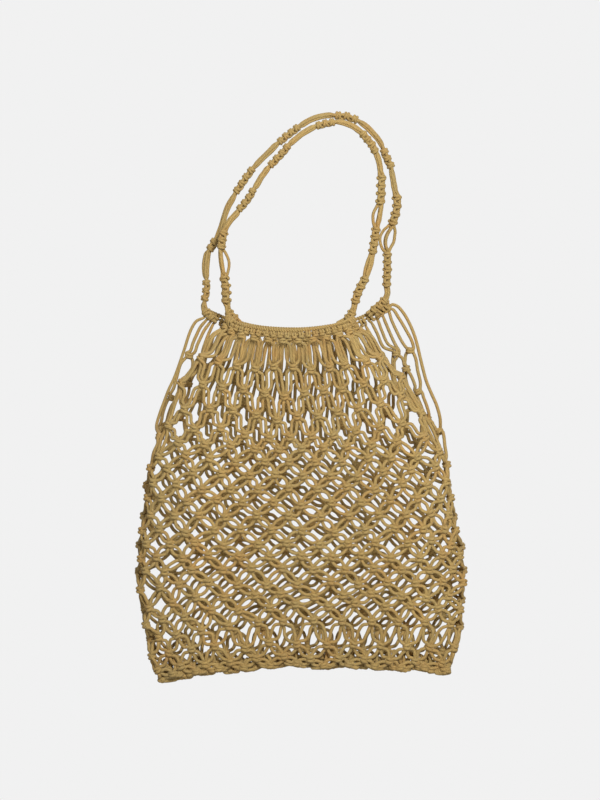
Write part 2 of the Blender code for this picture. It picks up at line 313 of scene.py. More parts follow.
def side_centre(name, row):
    if (name, row) in SIDE_KNOTS:
        centre = np.array(SIDE_KNOTS[(name, row)])
    else:
        share, shift = (0.0, 0.8) if name == "L" else (1.0, -0.8)
        owner = BACK if row in OPEN_ROWS else FRONT
        centre = on_bag(owner, row_z(row, share), share)
        centre[0] += shift
    return centre + jitter(0.6)


def knot_centres():
    """Centres by key: (side, row, k) on the panels, ("L" or "R", row) at the side edges."""
    found = {}
    for side in (FRONT, BACK):
        for row in range(ROWS):
            odd = row % 2
            for k in range(KNOTS - odd):
                share = (k + (1.0 if odd else 0.5)) / KNOTS
                share += CROWD[row] * math.sin(2 * math.pi * share) / (2 * math.pi)
                if row == 0:
                    found[(side, row, k)] = first_row_centre(side, share)
                else:
                    found[(side, row, k)] = panel_centre(side, row, share)
    for key, (x, z) in MOVED_KNOTS.items():
        found[key] = np.array([x, found[key][1], z])
    for row in range(1, ROWS, 2):
        for name in ("L", "R"):
            found[(name, row)] = side_centre(name, row)
    return found


centres = knot_centres()

# ----------------------------------------------------------------------------------
# Which knot each lane passes through. A knot's four slots, 0 to 3, run from left to right.
FREE = (None, 0)


def hold(first_lane, knot, slots):
    return {first_lane + i: (knot, slot) for i, slot in enumerate(slots)}


def free(*lanes):
    return {lane: FREE for lane in lanes}


# Edge lanes of the back panel that leave the regular pattern, by row.
BACK_EDGE_LANES = {
    0: free(*range(0, 4), *range(40, 48)),
    2: {**free(0, 1, 46, 47), **hold(2, (BACK, 2, 0), (0, 3)), **hold(44, (BACK, 2, 11), (0, 3))},
    5: {**hold(0, ("L", 5), (0, 3)), **hold(46, ("R", 5), (0, 3))},
}
for edge_row in (1, 3):
    BACK_EDGE_LANES[edge_row] = {
        **free(0, 47),
        **hold(1, ("L", edge_row), (0, 3)), **hold(3, (BACK, edge_row, 0), (0, 1, 3)),
        **hold(42, (BACK, edge_row, 10), (0, 2, 3)), **hold(45, ("R", edge_row), (0, 3)),
    }
for edge_row in (4, 6):
    BACK_EDGE_LANES[edge_row] = {
        **free(0, 47),
        **hold(1, (BACK, edge_row, 0), (0, 1, 3)), **hold(44, (BACK, edge_row, 11), (0, 2, 3)),
    }


def lane_knot(side, lane, row):
    """Knot and slot a lane passes through in a row; no knot where it hangs free."""
    if side == BACK and lane in BACK_EDGE_LANES.get(row, {}):
        return BACK_EDGE_LANES[row][lane]
    if row % 2 == 0:
        return (side, row, lane // 4), lane % 4
    from_right = LANES - 1 - lane
    if side == FRONT and row in OPEN_ROWS and min(lane, from_right) < 2:
        return FREE
    if lane < 2:
        # round the left edge the slots run from the back to the front
        return ("L", row), (2 + lane if side == FRONT else 1 - lane)
    if from_right < 2:
        return ("R", row), (1 - from_right if side == FRONT else 2 + from_right)
    return (side, row, (lane - 2) // 4), (lane - 2) % 4


# ----------------------------------------------------------------------------------
# Frame of each knot: unit vectors across it, down it and out of the bag.
Knot = namedtuple("Knot", "centre across down out height width flip")


def on_panel(key):
    return key[0] in (FRONT, BACK)


def neighbour_means(key):
    """Mean centres of the knots above and below that share strands with a knot."""
    row, centre = key[1], centres[key]
    above, below = [], []
    for side in (key[0],) if on_panel(key) else (FRONT, BACK):
        for lane in range(LANES):
            if lane_knot(side, lane, row)[0] != key:
                continue
            for rows, found in ((range(row - 1, -1, -1), above), (range(row + 1, ROWS), below)):
                other = next((lane_knot(side, lane, j)[0] for j in rows
                              if lane_knot(side, lane, j)[0]), None)
                if other is not None:
                    found.append(centres[other])
    up = np.mean(above, axis=0) if above else centre + 10.0 * UP
    down = np.mean(below, axis=0) if below else centre - 10.0 * UP
    return up, down


def first_known(*keys):
    return next(centres[key] for key in keys if key in centres)


def across_panel_knot(key):
    side, row, k = key
    left = first_known((side, row, k - 1), ("L", row), (-side, row, 0))
    right = first_known((side, row, k + 1), ("R", row), (-side, row, k))
    across = unit(right - left)
    return unit(across * np.array([1.0, 1.0, 0.35])) if row > 0 else across


def across_side_knot(key):
    name, row = key
    k = 0 if name == "L" else KNOTS - 2
    if row in OPEN_ROWS:
        across = centres[(BACK, row, k)] - centres[key]
    else:
        across = centres[(FRONT, row, k)] - centres[(BACK, row, k)]
    return unit(across if name == "L" else -across)


def framed_knot(key):
    row, centre = key[1], centres[key]
    above, below = neighbour_means(key)
    if row == 0:
        down = unit(0.35 * unit(below - centre) - 0.65 * UP)
    else:
        down = unit(unit(below - centre) + unit(centre - above))
    across = across_panel_knot(key) if on_panel(key) else across_side_knot(key)
    across = square_to(across, down)
    out = np.cross(down, across)
    if key[0] == BACK or (not on_panel(key) and row in OPEN_ROWS):
        out = -out
    across, down = turned(across, down, rng.normal(0.0, 0.10))
    across, out = turned(across, out, rng.normal(0.0, 0.12))
    flip = rng.random() < 0.5
    width = (1.08 if row == 0 else 0.95 if row < 6 else 0.86) * rng.uniform(0.93, 1.08)
    return Knot(centre, across, down, out, KNOT_HEIGHT[row], width, flip)


knots = {key: framed_knot(key) for key in centres}


def through_knot(knot, slot, squeeze=0.235, pinch=0.0, depth=1.0, entry=True, leave=True):
    """Points of one of the four strands of a square knot.

    The two cores run straight; one working strand crosses the front twice, the other
    crosses behind, and each wraps the other at the sides. squeeze places the crossings
    as a share of the height, pinch draws in the ends of the working strands."""
    width, height = knot.width, knot.height
    mirror = 1.0
    if slot in (1, 2):
        x = -width if slot == 1 else width
        end = height / 2 + 0.2
        local = [(x * 1.15, -end, 0.0), (x * 0.9, 0.0, -0.2), (x * 1.15, end, 0.0)]
    else:
        mirror = -1.0 if slot == 3 else 1.0
        q = height * squeeze
        edge = 2.75 * width
        if (slot == 0) == knot.flip:
            half = [(-edge - 0.6 + pinch, -q - 0.9, 0.5), (-1.3, -q - 0.3, 2.85),
                    (1.3, -q, 2.9), (edge, -q + 0.5, 1.3), (edge + 0.35, 0.0, -0.4)]
        else:
            half = [(-edge - 0.6 + pinch, -q - 0.9, 0.7),
                    (-edge - 0.1 + 0.6 * pinch, -q + 0.1, -0.4), (-1.0, -q + 0.2, -2.6),
                    (1.3, -q + 0.3, -2.5), (edge, -q + 0.8, -0.5), (edge + 0.45, 0.0, 1.6)]
        local = half + [(a, -b, c) for a, b, c in half[-2::-1]]
        if not entry:
            local = local[1:]
        if not leave:
            local = local[:-1]
    return [knot.centre + mirror * a * knot.across + b * knot.down + c * depth * knot.out
            for a, b, c in local]


# ----------------------------------------------------------------------------------
# Strands of the net.

# Back lanes that hang from the ends of the rim past the first knots: lane -> (x, z) points.
LOOSE = {
    0: [(-103.9, 360), (-108.7, 353), (-112.3, 344), (-115.1, 335), (-118.7, 324), (-122.5, 313),
        (-126.7, 302), (-131.9, 291), (-136.1, 280), (-140.5, 268), (-143.9, 256)],
    1: [(-100, 354), (-104, 346), (-107.5, 338), (-110.3, 330)],
    2: [(-96, 351), (-100, 343), (-103.2, 336), (-105.7, 329)],
    3: [(-91.5, 348), (-95, 339), (-98, 329)],
    40: [(60.5, 355), (66.5, 342), (74.5, 330)],
    41: [(65, 356), (71.5, 344), (78.5, 331)],
    42: [(70.5, 359), (76.5, 348), (83, 334)],
    43: [(76, 362.5), (81, 351), (87.5, 337)],
    44: [(81, 366.5), (85, 358.5), (89, 349), (94.5, 337)],
    45: [(87, 371.5), (91, 361), (96, 350), (102, 338.5)],
    46: [(91.5, 372), (98.3, 363), (105.5, 351), (111.5, 339.5)],
    47: [(91, 376.2), (96.5, 375), (103, 368), (109, 357.5), (113.8, 346), (117, 335),
         (119.8, 323), (122.5, 312), (125.8, 300), (130.7, 288), (136, 276), (139.5, 263)],
}
# Leaf between two knots: how far its strands bow apart, then stations along it, each
# (share of the fall, share of the sideways shift, share of the bow).
LEAF_TOP = (2.45, ((0.17, 0.39, 0.93), (0.5, 0.5, 1.0), (0.83, 0.61, 0.93)))    # to row 5
BODY_STATIONS = ((0.17, 0.18, 0.86), (0.5, 0.5, 1.16), (0.83, 0.82, 0.86))
LEAF_BODY = {FRONT: (2.9, BODY_STATIONS), BACK: (2.6, BODY_STATIONS)}
LEAF_BOTTOM = {
    19: (4.3, ((0.18, 0.30, 0.8), (0.5, 0.5, 1.0), (0.82, 0.70, 0.8))),
    20: (3.5, ((0.28, 0.33, 0.88), (0.72, 0.67, 0.88))),
    21: (2.6, ((0.3, 0.3, 0.9), (0.7, 0.7, 0.9))),
}
UNDER_RIM_SINK = 2.6


def loose_points(lane):
    inner = min(lane, LANES - 1 - lane)
    line = LOOSE[lane]
    points = []
    for i, (x, z) in enumerate(line):
        share = i / (len(line) - 1)
        if inner == 0:
            y = 13.5 - 5.0 * max(0.0, share - 0.6) / 0.4
        else:
            y = 13.0 + 1.2 * min(inner, 4)
        points.append(np.array([x, y, z]))
    return points


def leaf_points(side, row, upper, upper_slot, lower, lower_slot):
    """A strand between two knots; the pair of strands bows apart into a leaf."""
    bow, stations = LEAF_TOP if row <= 5 else LEAF_BOTTOM.get(row, LEAF_BODY[side])
    away = unit(upper.out + lower.out)
    leaving = 2.0 if upper_slot >= 2 else -2.0
    entering = 2.0 if lower_slot >= 2 else -2.0
    top = upper.centre + upper.down * (upper.height / 2 - 0.5) + upper.across * leaving
    low = lower.centre - lower.down * (lower.height / 2 - 0.5) + lower.across * entering
    sideways = unit(np.cross(away, unit(low - top)))
    if np.dot(sideways, upper.across) * leaving < 0:
        sideways = -sideways
    sign = 1.0 if upper_slot in (0, 3) else -1.0
    down = unit(upper.down + lower.down)
    fall = down * np.dot(low - top, down)
    shift = low - top - fall
    bow *= rng.uniform(0.8, 1.22)
    # under the rim the inner strand of each pair lies behind its neighbour
    sink = UNDER_RIM_SINK if row == 1 and sign < 0 else 0.0
    return [top + fall * fall_share + shift * shift_share
            + sideways * sign * bow * bow_share * rng.uniform(0.9, 1.1)
            + away * (rng.normal(0.0, 0.4) - sink)
            for fall_share, shift_share, bow_share in stations]


def tail_points(key, slot, start_x):
    """Led sideways along the bottom edge, turned inside and trimmed."""
    knot = knots[key]
    slot_across = (slot - 1.5) * 1.7
    longest = 12.0 if start_x > -75 else 20.0
    tail = 4.0 + longest * rng.random() ** 1.5
    reach = math.copysign(rng.uniform(4.5, 9.5), slot_across)
    inward, along = -knot.out, knot.across
    if not on_panel(key):
        to_middle = 1.0 if key[0] == "L" else -1.0
        inward, along = np.array([to_middle, 0.0, 0.0]), np.array([1.0, 0.0, 0.0])
        reach = to_middle * rng.uniform(3.0, 9.0)
    level = rng.uniform(-0.9, 1.6)
    drop = knot.centre - UP * knot.height / 2

    def spot(reach_share, rise, depth):
        return drop + along * (slot_across + reach_share * reach) + UP * rise + inward * depth

    return [
        spot(0.25, 0.2 + 0.3 * level, 0.9),
        spot(0.75, 0.4 + level, 1.2) + rng.normal(0, 0.3, 3),
        spot(1.0, 1.6 + level, 3.2) + rng.normal(0, 0.3, 3),
        spot(0.9, 1.8 + level + 0.5 * tail, 4.0) + rng.normal(0, 0.6, 3),
        spot(0.9, 1.8 + level + tail, 3.7) + along * rng.normal(0, 2.0) + rng.normal(0, 0.8, 3),
    ]


def strand_path(side, lane):
    """Control points down a lane, from its top to its trimmed tail."""
    points = loose_points(lane) if side == BACK and lane in LOOSE else []
    previous = None
    for row in range(ROWS):
        key, slot = lane_knot(side, lane, row)
        if key is None:
            continue
        placed = through_knot(knots[key], slot)
        if previous is not None:
            points.extend(leaf_points(side, row, *previous, knots[key], slot))
        points.extend(placed)
        previous = (knots[key], slot)
    return points + tail_points(key, slot, points[-1][0])


# Lark's head, first half: (half widths across, up, out) from the lane to the middle.
HITCH_HALF = [(-1.0, -4.6, 0.2), (-1.0, -2.2, 0.9), (-1.0, 0.5, 2.35), (-1.0, 1.6, 1.2),
              (-1.0, 1.5, -0.7), (-1.0, -0.4, -2.1), (-1.12, -2.3, -1.4), (-1.3, -2.8, 0.8),
              (-0.95, -2.2, 2.9)]
HITCH_MIDDLE = (0.0, -2.1, 3.6)


def hitch_points(side, number):
    """Lark's head over the rim cord, from the first lane of a doubled cord to the second."""
    first, second = (PANELS[side].rim((2 * number + j + 0.5) / LANES, HITCH_DROP)
                     for j in (0, 1))
    across = unit(second - first)
    up = square_to(UP, across)
    out = side * np.cross(up, across)
    half_width = 0.8 * np.linalg.norm(second - first) / 2
    centre = (first + second) / 2 + rng.normal(0, 0.2, 3)
    across, up = turned(across, up, rng.normal(0, 0.12))
    path = HITCH_HALF + [HITCH_MIDDLE] + [(-a, b, c) for a, b, c in HITCH_HALF[::-1]]
    return [centre + a * half_width * across + b * up + c * out for a, b, c in path]


# ----------------------------------------------------------------------------------
# Meshes.
def tube(path, radius):
    """Vertices, quads, end triangles and quad UVs of a closed tube along a path.

    U runs once round the cord, V is the run along it in millimetres."""
    count = len(path)
    tangent = unit(np.gradient(path, axis=0))
    normal = np.zeros_like(path)
    start = np.array([0.0, 1.0, 0.0] if abs(tangent[0][1]) < 0.9 else [1.0, 0.0, 0.0])
    normal[0] = square_to(start, tangent[0])
    for i in range(1, count):
        normal[i] = square_to(normal[i - 1], tangent[i])
    binormal = np.cross(tangent, normal)
    angle = np.linspace(0.0, 2 * np.pi, CORD_SIDES, endpoint=False)[None, :, None]
    radius = np.broadcast_to(radius, (count,))
    spots = path[:, None, :] + radius[:, None, None] * (
        np.cos(angle) * normal[:, None, :] + np.sin(angle) * binormal[:, None, :])

    ring = np.arange(count - 1)[:, None] * CORD_SIDES
    j = np.arange(CORD_SIDES)[None, :]
    after = (j + 1) % CORD_SIDES
    quads = np.stack([ring + j, ring + after, ring + CORD_SIDES + after, ring + CORD_SIDES + j],
                     axis=-1).reshape(-1, 4)
    run = run_along(path)[:, None]
    u0, u1, v0, v1 = j / CORD_SIDES, (j + 1) / CORD_SIDES, run[:-1], run[1:]
    corners = [np.stack(np.broadcast_arrays(u, v), -1)
               for u, v in ((u0, v0), (u1, v0), (u1, v1), (u0, v1))]
    uv = np.stack(corners, axis=2).reshape(-1, 2)

    # each end is closed to a low point
    last = count - 1
    tips = [path[end] + sign * tangent[end] * radius[end] * 0.55
            for end, sign in ((0, -1.0), (last, 1.0))]
    first_tip = count * CORD_SIDES
    caps = [((k + 1) % CORD_SIDES, k, first_tip) for k in range(CORD_SIDES)]
    base = last * CORD_SIDES
    caps += [(base + k, base + (k + 1) % CORD_SIDES, first_tip + 1) for k in range(CORD_SIDES)]
    return np.vstack([spots.reshape(-1, 3), tips]), quads, np.array(caps), uv


def cord_object(name, paths, radii, material):
    """One mesh object holding one or more lengths of cord."""
    start_v = rng.uniform(0, 50.0)
    verts, quad_sets, cap_sets, uv_sets = [], [], [], []
    base = 0
    for path, radius in zip(paths, radii):
        spots, quads, caps, uv = tube(path, radius)
        verts.append(spots)
        quad_sets.append(quads + base)
        cap_sets.append(caps + base)
        uv_sets.append(uv + np.array([0.0, start_v]))
        base += len(spots)
    spots, quads, caps = np.vstack(verts), np.vstack(quad_sets), np.vstack(cap_sets)
    # the outlines hold in the seam plane as the camera sees them
    near = 1.0 + spots[:, 1] / VIEW_DISTANCE
    for axis in (0, 2):
        spots[:, axis] = VIEW_CENTRE[axis] + (spots[:, axis] - VIEW_CENTRE[axis]) * near
    spots = (spots + SHIFT) / MM

    mesh = bpy.data.meshes.new(name)
    quad_count, cap_count = len(quads), len(caps)
    mesh.vertices.add(len(spots))
    mesh.vertices.foreach_set("co", spots.astype(np.float32).ravel())
    mesh.loops.add(quad_count * 4 + cap_count * 3)
    corners = np.concatenate([quads.ravel(), caps.ravel()])
    mesh.loops.foreach_set("vertex_index", corners.astype(np.int32))
    mesh.polygons.add(quad_count + cap_count)
    starts = np.concatenate([np.arange(quad_count) * 4,
                             quad_count * 4 + np.arange(cap_count) * 3])
    mesh.polygons.foreach_set("loop_start", starts.astype(np.int32))
    mesh.update(calc_edges=True)
    layer = mesh.uv_layers.new(name="cord")
    cap_uv = np.tile(np.array([[0.5, start_v]]), (cap_count * 3, 1))
    layer.data.foreach_set("uv", np.vstack([*uv_sets, cap_uv]).astype(np.float32).ravel())
    mesh.polygons.foreach_set("use_smooth", np.ones(quad_count + cap_count, dtype=bool))
    mesh.validate()
    mesh.materials.append(material)
    obj = bpy.data.objects.new(name, mesh)
    bpy.context.scene.collection.objects.link(obj)
    return obj


# ----------------------------------------------------------------------------------
# Materials.
def feed(tree, node, inputs):
    """Link sockets to, or set values of, a node's inputs."""
    for slot, value in inputs.items():
        if isinstance(value, bpy.types.NodeSocket):
            tree.links.new(value, node.inputs[slot])
        else:
            node.inputs[slot].default_value = value


def add_node(tree, kind, inputs=None, **properties):
    made = tree.nodes.new(kind)
    for name, value in properties.items():
        setattr(made, name, value)
    feed(tree, made, inputs or {})
    return made


def add_maths(tree, operation, *values):
    return add_node(tree, "ShaderNodeMath", dict(enumerate(values)),
                    operation=operation).outputs[0]


def add_noise(tree, vector, scale, detail):
    inputs = {"Vector": vector, "Scale": scale, "Detail": detail}
    return add_node(tree, "ShaderNodeTexNoise", inputs).outputs["Fac"]


def add_range(tree, value, from_min=0.0, from_max=1.0, to_min=0.0, to_max=1.0):
    inputs = {"Value": value, "From Min": from_min, "From Max": from_max,
              "To Min": to_min, "To Max": to_max}
    return add_node(tree, "ShaderNodeMapRange", inputs).outputs[0]


CORD_TINT = (0.403, 0.279, 0.100)
WARM, PALE, BLUSH = (1.06, 0.95, 0.86), (1.02, 1.05, 1.08), (1.02, 0.80, 0.74)   # of the tint
PLIES = 3
PLY_RUN = 1.15                       # phase of the plies gained per millimetre, in radians
# Painted shade, darker towards the left fold and the bottom: axis, dark end, unshaded end (metres),
# tone.
PAINTED_SHADE_RAMPS = (("X", -0.160, -0.105, 0.87), ("Z", 0.0, 0.045, 0.93))
CORD_FINISH = {
    "Specular IOR Level": 0.28,
    "Sheen Weight": 0.22,
    "Sheen Roughness": 0.45,
    "Sheen Tint": (0.95, 0.86, 0.66, 1.0),
}


def cord_material(name, tint, seed):
    """Smooth twisted cord: colour drift, fine plies along the length, soft sheen."""
    material = bpy.data.materials.new(name)
    material.use_nodes = True
    tree = material.node_tree
    node, maths, noise, map_range = (
        partial(tool, tree) for tool in (add_node, add_maths, add_noise, add_range))

    def tinted(factors):
        return [part * factor for part, factor in zip(tint, factors)] + [1.0]

    uv = node("ShaderNodeUVMap", uv_map="cord").outputs["UV"]
    split = node("ShaderNodeSeparateXYZ", {0: uv})
    around, along = split.outputs["X"], split.outputs["Y"]
    place = node("ShaderNodeTexCoord").outputs["Object"]

    # plies: the angle round the cord plus the run along it
    run = maths("MULTIPLY", along, PLY_RUN)
    turn = maths("MULTIPLY", around, 2 * math.pi * PLIES)
    phase = maths("ADD", maths("MULTIPLY", run, 1.0), turn)
    ply = maths("ABSOLUTE", maths("SINE", maths("MULTIPLY", phase, 0.5)))

    # fine fibres, stretched along the ply; the seed sets each material's own pattern
    fibre_place = node("ShaderNodeCombineXYZ", {
        0: maths("MULTIPLY", around, 26.0),
        1: maths("ADD", maths("MULTIPLY", along, 0.32), maths("MULTIPLY", around, 5.0)),
        2: seed * 1.7,
    })
    fibre = noise(fibre_place.outputs[0], scale=1.0, detail=3.0)
    broad_drift = noise(place, scale=46.0, detail=3.0)
    small_drift = noise(place, scale=150.0, detail=2.0)

    # broad drift of colour
    base = node("ShaderNodeValToRGB", {0: broad_drift})
    ramp = base.color_ramp
    ramp.elements[0].position, ramp.elements[1].position = 0.28, 0.74
    ramp.elements[0].color = tinted(WARM)
    ramp.elements[1].color = tinted(PALE)
    ramp.elements.new(0.5).color = [*tint, 1.0]

    # red-brown blush in small patches
    blush = node("ShaderNodeMix", {
        "Factor": map_range(small_drift, from_min=0.55, from_max=0.78, to_max=0.40),
        "A": base.outputs[0],
        "B": tinted(BLUSH),
    }, data_type="RGBA")

    # painted shade in the grooves between plies, lighter and darker fibres, painted shade towards
    # the left fold and the bottom
    painted_groove_shade = map_range(ply, from_max=0.45, to_min=0.74)
    fleck = map_range(fibre, from_min=0.3, from_max=0.7, to_min=0.86, to_max=1.12)
    spot = node("ShaderNodeSeparateXYZ", {0: place})
    # painted shade: the colour darkens towards the left fold and the bottom
    painted_shade = [map_range(spot.outputs[axis], from_min=low, from_max=high, to_min=dark)
            for axis, low, high, dark in PAINTED_SHADE_RAMPS]
    shade = maths("MULTIPLY", maths("MULTIPLY", painted_groove_shade, fleck), maths("MULTIPLY", *painted_shade))
    grey = node("ShaderNodeCombineXYZ", {0: shade, 1: shade, 2: shade})
    shaded = node("ShaderNodeMix", {
        "Factor": 1.0,
        "A": blush.outputs["Result"],
        "B": grey.outputs[0],
    }, data_type="RGBA", blend_type="MULTIPLY")

    height = maths("ADD", maths("MULTIPLY", ply, 0.7), maths("MULTIPLY", fibre, 0.5))
    bump = node("ShaderNodeBump", {"Strength": 0.5, "Distance": 0.00035, "Height": height})
    feed(tree, tree.nodes["Principled BSDF"], {
        "Base Color": shaded.outputs["Result"],
        "Roughness": map_range(fibre, to_min=0.62, to_max=0.82),
        "Normal": bump.outputs[0],
        **CORD_FINISH,
    })
    return material


def cord_shades(count):
    """Materials that differ a little in brightness and warmth."""
    made = []
    for i in range(count):
        bright = rng.uniform(0.93, 1.07)
        warm = rng.uniform(-0.02, 0.02)
        red, green, blue = CORD_TINT
        tint = (red * bright * (1 + warm), green * bright, blue * bright * (1 - 2 * warm))
        made.append(cord_material(f"net_cord_{i + 1}", tint, i + 1))
    return made


shades = cord_shades(6)


def any_shade():
    return shades[int(rng.integers(0, 6))]


# ----------------------------------------------------------------------------------
# Rims.
ROPE_LAY = 5.2                               # run of one turn of the two-ply rope
ROPE_OFFSET = 0.9                            # of a ply from the rope's centre line
WRAP_REACH = {FRONT: 17.0, BACK: 15.0}       # run along the rim bound at each end
WRAP_TURNS = 4.2
WRAP_STATIONS = [0.0, 0.25, 1.0]             # share of the wrap's length
WRAP_HIGH, WRAP_DEEP = [2.2, 3.5, 4.0], [2.2, 3.0, 3.4]      # its half sizes there
RIM_RADII = [1.0, 1.0, 1.1, 1.35, 1.35]      # two plies, carrier, two wraps


def coil(line, angle, high, deep):
    """A cord wound round a line, `high` upwards and `deep` sideways from it."""
    tangent = unit(np.gradient(line, axis=0))
    up = unit(UP - tangent * tangent[:, 2:3])
    sideways = np.cross(tangent, up)
    return (line + (high * np.cos(angle))[:, None] * up
            + (deep * np.sin(angle))[:, None] * sideways)


def rim_paths(side):
    """The two-ply rope along the top edge, the carrier inside the hitches, and the
    wraps that bind each end of the rim under a handle foot."""
    def line_at(shares, drop):
        return np.array([PANELS[side].rim(share, drop) for share in shares])

    rope = line_at(np.linspace(0.0, 1.0, 420), ROPE_DROP)
    run = run_along(rope)
    paths = [coil(rope, start + run / ROPE_LAY * 2 * math.pi, ROPE_OFFSET, ROPE_OFFSET)
             for start in (0.0, math.pi)]
    paths.append(line_at(np.linspace(0.0, 1.0, 90), HITCH_DROP))
    along = np.linspace(0.0, 1.0, 90)
    shares = along * WRAP_REACH[side] / run[-1]
    high = np.interp(along, WRAP_STATIONS, WRAP_HIGH)
    deep = np.interp(along, WRAP_STATIONS, WRAP_DEEP)
    for end_shares in (shares, 1.0 - shares):
        angle = along * WRAP_TURNS * 2 * math.pi
        paths.append(coil(line_at(end_shares, WRAP_DROP), angle, high, deep))
    return paths


# ----------------------------------------------------------------------------------
# The net, one piece for each doubled cord, and the rims.
# z, cord radius: hanging straight under load near the rim, slacker and fuller lower down.
STRAND_RADIUS = [(361, 1.64), (261, 1.68), (206, CORD_RADIUS)]
# Pulled tight round the rim: distance from the hitch, factor on the radius.
HITCH_NEAR, HITCH_FACTOR = [5.0, 10.0], [0.84, 1.0]


def register_body(piece, replaced):
    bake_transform(piece)
    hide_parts(replaced)


def net_cord(side, number):
    left, right = strand_path(side, 2 * number), strand_path(side, 2 * number + 1)
    hitch = hitch_points(side, number)
    line = spline(left[::-1] + hitch + right)
    [radius] = look_up(STRAND_RADIUS, line[:, 2])
    away = np.linalg.norm(line - np.mean(hitch, axis=0), axis=1)
    radius = radius * np.interp(away, HITCH_NEAR, HITCH_FACTOR)
    label = f"{number + 1:02d}"
    piece = cord_object(f"{SIDE_NAMES[side]}_net_cord_{label}", [line], [radius], any_shade())
    register_body(piece, f"{SIDE_NAMES[side]}_body_cord_{label}")


for side in (FRONT, BACK):
    for number in range(LANES // 2):
        net_cord(side, number)
    rim = cord_object(f"{SIDE_NAMES[side]}_rim", rim_paths(side), RIM_RADII, shades[0])
    register_body(rim, f"{SIDE_NAMES[side]}_rim_cord")

# ----------------------------------------------------------------------------------
# Handles. line: (x, z) points of the centre line, from the left foot to the right.
# groups: runs of knots, each (from, to, turn about the line in radians, width).
# slack: for the stretch after each group but the last, how far the knotting strands stand
# away on the inside and the outside of the loop; None is a thin neck.
HANDLES = {
    FRONT: {
        "line": [
            (-60.5, 356.5), (-65.5, 361), (-71, 367.5), (-73, 374.5), (-73.5, 382),
            (-75.5, 401), (-78.5, 419), (-79.5, 433), (-77.5, 446), (-71.5, 459),
            (-62.5, 469), (-53.5, 481), (-44.5, 495), (-35.5, 509), (-23.5, 523),
            (-10.5, 537), (4.5, 549), (21.5, 557), (39.5, 559), (56.5, 552), (69.5, 539),
            (77.5, 523), (80.5, 506), (80.5, 489), (79.5, 471), (75.5, 451), (73.5, 436),
            (69.5, 419), (65.5, 406), (58.5, 389), (54, 375), (52.5, 370), (49, 364),
            (43.5, 359), (37.5, 356),
        ],
        "groups": [
            ((-64, 359.5), (-71.9, 372), 0.3, 1.1), ((-73.5, 377.5), (-75.5, 406), 0.0, 1.25),
            ((-79.5, 431), (-76.5, 452), 0.5, 1.1), ((-59.5, 468), (-44.5, 491), 0.9, 0.8),
            ((-30.5, 514), (-9.5, 535), 0.9, 0.8), ((14.5, 555), (34.5, 559), 0.9, 0.88),
            ((60.5, 550), (79.5, 529), 0.3, 1.0), ((80.5, 507), (79.5, 476), 0.0, 1.18),
            ((75.5, 455), (72.5, 426), 0.2, 1.1), ((65.5, 405), (54.5, 376.5), 0.3, 1.1),
            ((53.1, 371), (45.5, 360.5), 0.2, 1.1),
        ],
        "slack": [None, (5.4, 0.2), (0.3, 0.1), (0.2, 0.2), (0.2, 0.2), (0.2, 0.2), (0.3, 0.1),
                  (4.6, 0.4), (1.4, 1.2), None],
        "wave_phase": 0.6,
    },
    BACK: {
        "line": [
            (-83.5, 360), (-89, 364), (-94.5, 369.5), (-96.5, 375), (-96, 380), (-95.5, 386),
            (-94.5, 401), (-94.5, 416), (-91.5, 431), (-83.5, 443), (-78.5, 455),
            (-74.5, 469), (-67.5, 483), (-58.5, 499), (-44.5, 516), (-29.5, 531),
            (-16.5, 543), (-3.5, 553), (14.5, 563), (35.5, 566), (54.5, 562), (71.5, 549),
            (82.5, 534), (89.5, 516), (93.5, 496), (96.5, 478), (94, 463), (91.5, 455),
            (86, 445), (85, 437), (87, 427), (86.5, 411), (86.5, 396), (87, 389), (86, 383),
            (80.5, 377), (73.5, 371), (67.5, 366),
        ],
        "groups": [
            ((-86.5, 362), (-95.7, 372), 0.3, 1.1), ((-96.1, 379.5), (-93.5, 402), 1.2, 0.85),
            ((-91.5, 430), (-83.5, 442), 0.8, 1.1), ((-64.5, 487), (-45.5, 513), 0.9, 0.8),
            ((-20.5, 536), (0.5, 553), 0.9, 0.82), ((33.5, 566), (58.5, 560), 1.3, 1.0),
            ((86.5, 535), (93.5, 513), 1.2, 1.0), ((94.5, 487), (92.5, 455), 0.2, 1.18),
            ((87.5, 430), (86.7, 393), 0.3, 1.05), ((85.9, 382.5), (71, 369), 0.3, 1.0),
        ],
        "slack": [None, (0.9, 1.2), (0.2, 0.3), (0.2, 0.2), (0.2, 0.2), (0.2, 0.2), (0.2, 0.2),
                  (4.4, 7.2), None],
        "wave_phase": 2.1,
    },
}
# The cords in knot slot order: offset across and out of the handle between knots.
HANDLE_CORDS = {"knotting_front": (-2.0, 1.2), "core_inner": (-1.25, -1.2),
                "core_outer": (1.25, 1.0), "knotting_rear": (2.0, -1.4)}
KNOT_PITCH = 7.4
HANDLE_CORD_RADIUS = 1.58
HANDLE_DEPTH = 12.0                          # of a handle from the seam plane
HANDLE_WANDER = 2.4                          # in depth, so that it is not a flat cut-out
FOOT_WIDTH, NECK_WIDTH = 1.1, 0.72
SLACK_STATIONS = (0.12, 0.3, 0.5, 0.7, 0.88)


class HandleLine:
    """Centre line of a handle, read by the run along it."""

    def __init__(self, side):
        data = HANDLES[side]
        self.points = spline([(x, 0.0, z) for x, z in data["line"]], most=20)
        self.run = run_along(self.points)
        self.total = self.run[-1]
        share = self.run / self.total
        wave = np.sin(share * 3 * math.pi + data["wave_phase"])
        wander = HANDLE_WANDER * wave * np.sin(share * math.pi)
        self.points[:, 1] = side * HANDLE_DEPTH + wander

    def at(self, s):
        """Point, and unit vectors across (to the loop's outside), along and forward."""
        s = min(max(s, 0.0), self.total)
        point, after, before = (
            np.array([np.interp(v, self.run, self.points[:, i]) for i in range(3)])
            for v in (s, min(s + 1.5, self.total), max(s - 1.5, 0.0)))
        along = unit(after - before)
        out = square_to(np.array([0.0, -1.0, 0.0]), along)
        return point, np.cross(out, along), along, out

    def nearest(self, spot):
        x, z = spot
        gap = (self.points[:, 0] - x) ** 2 + (self.points[:, 2] - z) ** 2
        return self.run[np.argmin(gap)]


